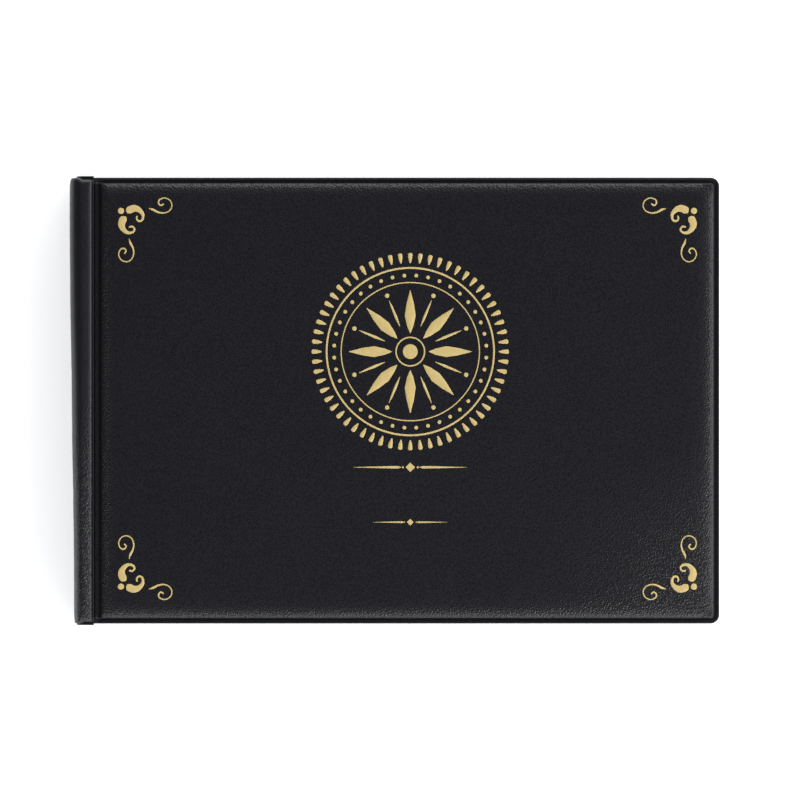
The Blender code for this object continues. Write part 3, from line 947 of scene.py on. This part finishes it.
def clear_pvc(name, tint):
    """Soft clear PVC film: see-through, a little milky, glossy, with faint handling marks."""
    material, shader = new_material(name, IOR=1.53, Transmission_Weight=0.94)
    shader.inputs["Base Color"].default_value = linear(tint)
    where = add_node(material, "ShaderNodeTexCoord").outputs["Object"]
    marks = add_node(material, "ShaderNodeTexNoise", {"Scale": 120.0, "Detail": 5.0},
                     Vector=where)
    haze = add_node(material, "ShaderNodeMapRange",
                    {"From Min": 0.35, "From Max": 0.7, "To Min": 0.05, "To Max": 0.16},
                    Value=marks.outputs["Fac"])
    ripple = add_node(material, "ShaderNodeTexNoise", {"Scale": 160.0, "Detail": 2.0},
                      Vector=where)
    bump = add_node(material, "ShaderNodeBump", {"Strength": 0.25, "Distance": 0.3 * MM},
                    Height=ripple.outputs["Fac"])
    tree = material.node_tree
    tree.links.new(haze.outputs["Result"], shader.inputs["Roughness"])
    tree.links.new(bump.outputs["Normal"], shader.inputs["Normal"])
    return material


def film_grid(name, across, along):
    """A flat sheet with grid lines at the given places; its corners are cut afterwards."""
    bpy.ops.mesh.primitive_grid_add(x_subdivisions=len(across) - 1,
                                    y_subdivisions=len(along) - 1, size=1.0)
    sheet = bpy.context.object
    sheet.name = name
    for vert in sheet.data.vertices:
        column = round((vert.co.x + 0.5) * (len(across) - 1))
        row = round((vert.co.y + 0.5) * (len(along) - 1))
        vert.co = Vector((across[column], along[row], 0.0))
    return sheet


def round_fore_corners(sheet, fore, half):
    """Pull the outermost points of the two fore corners in to a round corner."""
    for vert in sheet.data.vertices:
        over_x = vert.co.x - (fore - LEAF_CORNER)
        over_y = abs(vert.co.y) - (half - LEAF_CORNER)
        if over_x > 0 and over_y > 0:
            reach = max(over_x, over_y) / math.hypot(over_x, over_y)
            vert.co.x -= over_x * (1 - reach)
            vert.co.y -= math.copysign(over_y * (1 - reach), vert.co.y)


def leaf_mesh(kind, films):
    """The two films of one kind of leaf, with the base film's middle at height 0."""
    base_low, base_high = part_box("page_01_base")
    pocket_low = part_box("page_01_pockets")[0]
    root, fore, half = base_low.x, base_high.x, base_high.y
    corner = [3.0 * MM, 2.6 * MM, 2.1 * MM, 1.4 * MM, 0.7 * MM, 0.0]
    across = [root + place * MM for place in (0, 0.8, 1.6, 2.4, 3.2, 4.0, 5.0, 6.0, 7.0, 9.0)]
    across += spread(root + ROOT_MARGIN, fore - 8 * MM, 8 * MM)
    across += [fore - place for place in corner]
    along = [-half + place for place in reversed(corner)]
    along += spread(-half + 8 * MM, half - 8 * MM, 8 * MM)
    along += [half - place for place in corner]
    base = film_grid("leaf_base_" + kind, across, along)
    round_fore_corners(base, fore, half)
    thicken(base, FILM_WALL, offset=0.0)
    base.data.materials.append(films[0])

    columns, rows = POCKETS[kind]
    left = pocket_low.x + POCKET_EDGE
    width = (fore - POCKET_EDGE - left) / columns
    height = 2 * (half - POCKET_EDGE) / rows
    bottom = -half + POCKET_EDGE
    shares = (0.05, 0.12, 0.25, 0.4, 0.6, 0.75, 0.88, 0.95)
    across = [pocket_low.x, pocket_low.x + MM]
    for column in range(columns):
        start = left + column * width
        across += [start, start + WELD_HALF]
        room = width - 2 * WELD_HALF
        across += [start + WELD_HALF + room * share for share in shares]
        across += [start + MOUTH_INSET, start + width - MOUTH_INSET, start + width - WELD_HALF]
    across += [fore - POCKET_EDGE, fore - 1.4 * MM, fore - 0.7 * MM, fore]
    along = [-half, -half + 0.7 * MM, -half + 1.4 * MM]
    mouths = []
    for row in range(rows):
        start = bottom + row * height
        along += [start, start + WELD_HALF]
        room = height - 2 * WELD_HALF
        along += [start + WELD_HALF + room * share for share in shares]
        mouth = start + height - MOUTH_DROP
        mouths.append(mouth)
        along += [mouth - MOUTH_HEIGHT / 2, mouth + MOUTH_HEIGHT / 2, start + height - WELD_HALF]
    along += [half - POCKET_EDGE, half - 1.4 * MM, half - 0.7 * MM, half]
    across = sorted(set(round(place, 6) for place in across))
    along = sorted(set(round(place, 6) for place in along))
    pockets = film_grid("leaf_pockets_" + kind, across, along)

    def in_mouth(spot):
        column = (spot.x - left) % width
        beside = MOUTH_INSET < column < width - MOUTH_INSET and left < spot.x < fore
        return beside and any(abs(spot.y - mouth) < MOUTH_HEIGHT / 2 for mouth in mouths)

    edit(pockets)
    pick(pockets, "FACE", in_mouth)
    bpy.ops.mesh.delete(type="FACE")
    done()
    touching = FILM_WALL + 0.01 * MM
    for vert in pockets.data.vertices:
        column = (vert.co.x - left) / width
        row = (vert.co.y - bottom) / height
        vert.co.z = touching
        if 0 < column < columns and 0 < row < rows:
            beside = min(column % 1, 1 - column % 1) * width - WELD_HALF
            above = min(row % 1, 1 - row % 1) * height - WELD_HALF
            rise = ramp(beside, 0.0, 5 * MM) * ramp(above, 0.0, 5 * MM)
            vert.co.z += POCKET_PUFF * rise
    round_fore_corners(pockets, fore, half)
    thicken(pockets, FILM_WALL, offset=0.0)
    pockets.data.materials.append(films[1])
    return base, pockets


BASE_FILM = clear_pvc("clear_pvc_base_film", "#E9EEF0")
POCKET_FILM = clear_pvc("clear_pvc_pocket_film", "#F1F4F5")
models = {kind: leaf_mesh(kind, (BASE_FILM, POCKET_FILM)) for kind in POCKETS}
for number in range(1, LEAVES + 1):
    page = "page_{:02d}".format(number)
    base_low, base_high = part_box(page + "_base")
    kind = "large" if number <= LARGE_LEAVES else "small"
    for model, part in zip(models[kind], ("base", "pockets")):
        film = bpy.data.objects.new("{}_{}_film".format(page, part), model.data.copy())
        bpy.context.scene.collection.objects.link(film)
        for vert in film.data.vertices:
            wave = noise.noise(Vector((vert.co.x * 14.0, vert.co.y * 14.0, number * 3.1)))
            vert.co.z += (base_low.z + base_high.z) / 2 + 0.10 * MM * wave
        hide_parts(page + "_" + part)
        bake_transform(film)
for pair in models.values():
    for model in pair:
        bpy.data.objects.remove(model)
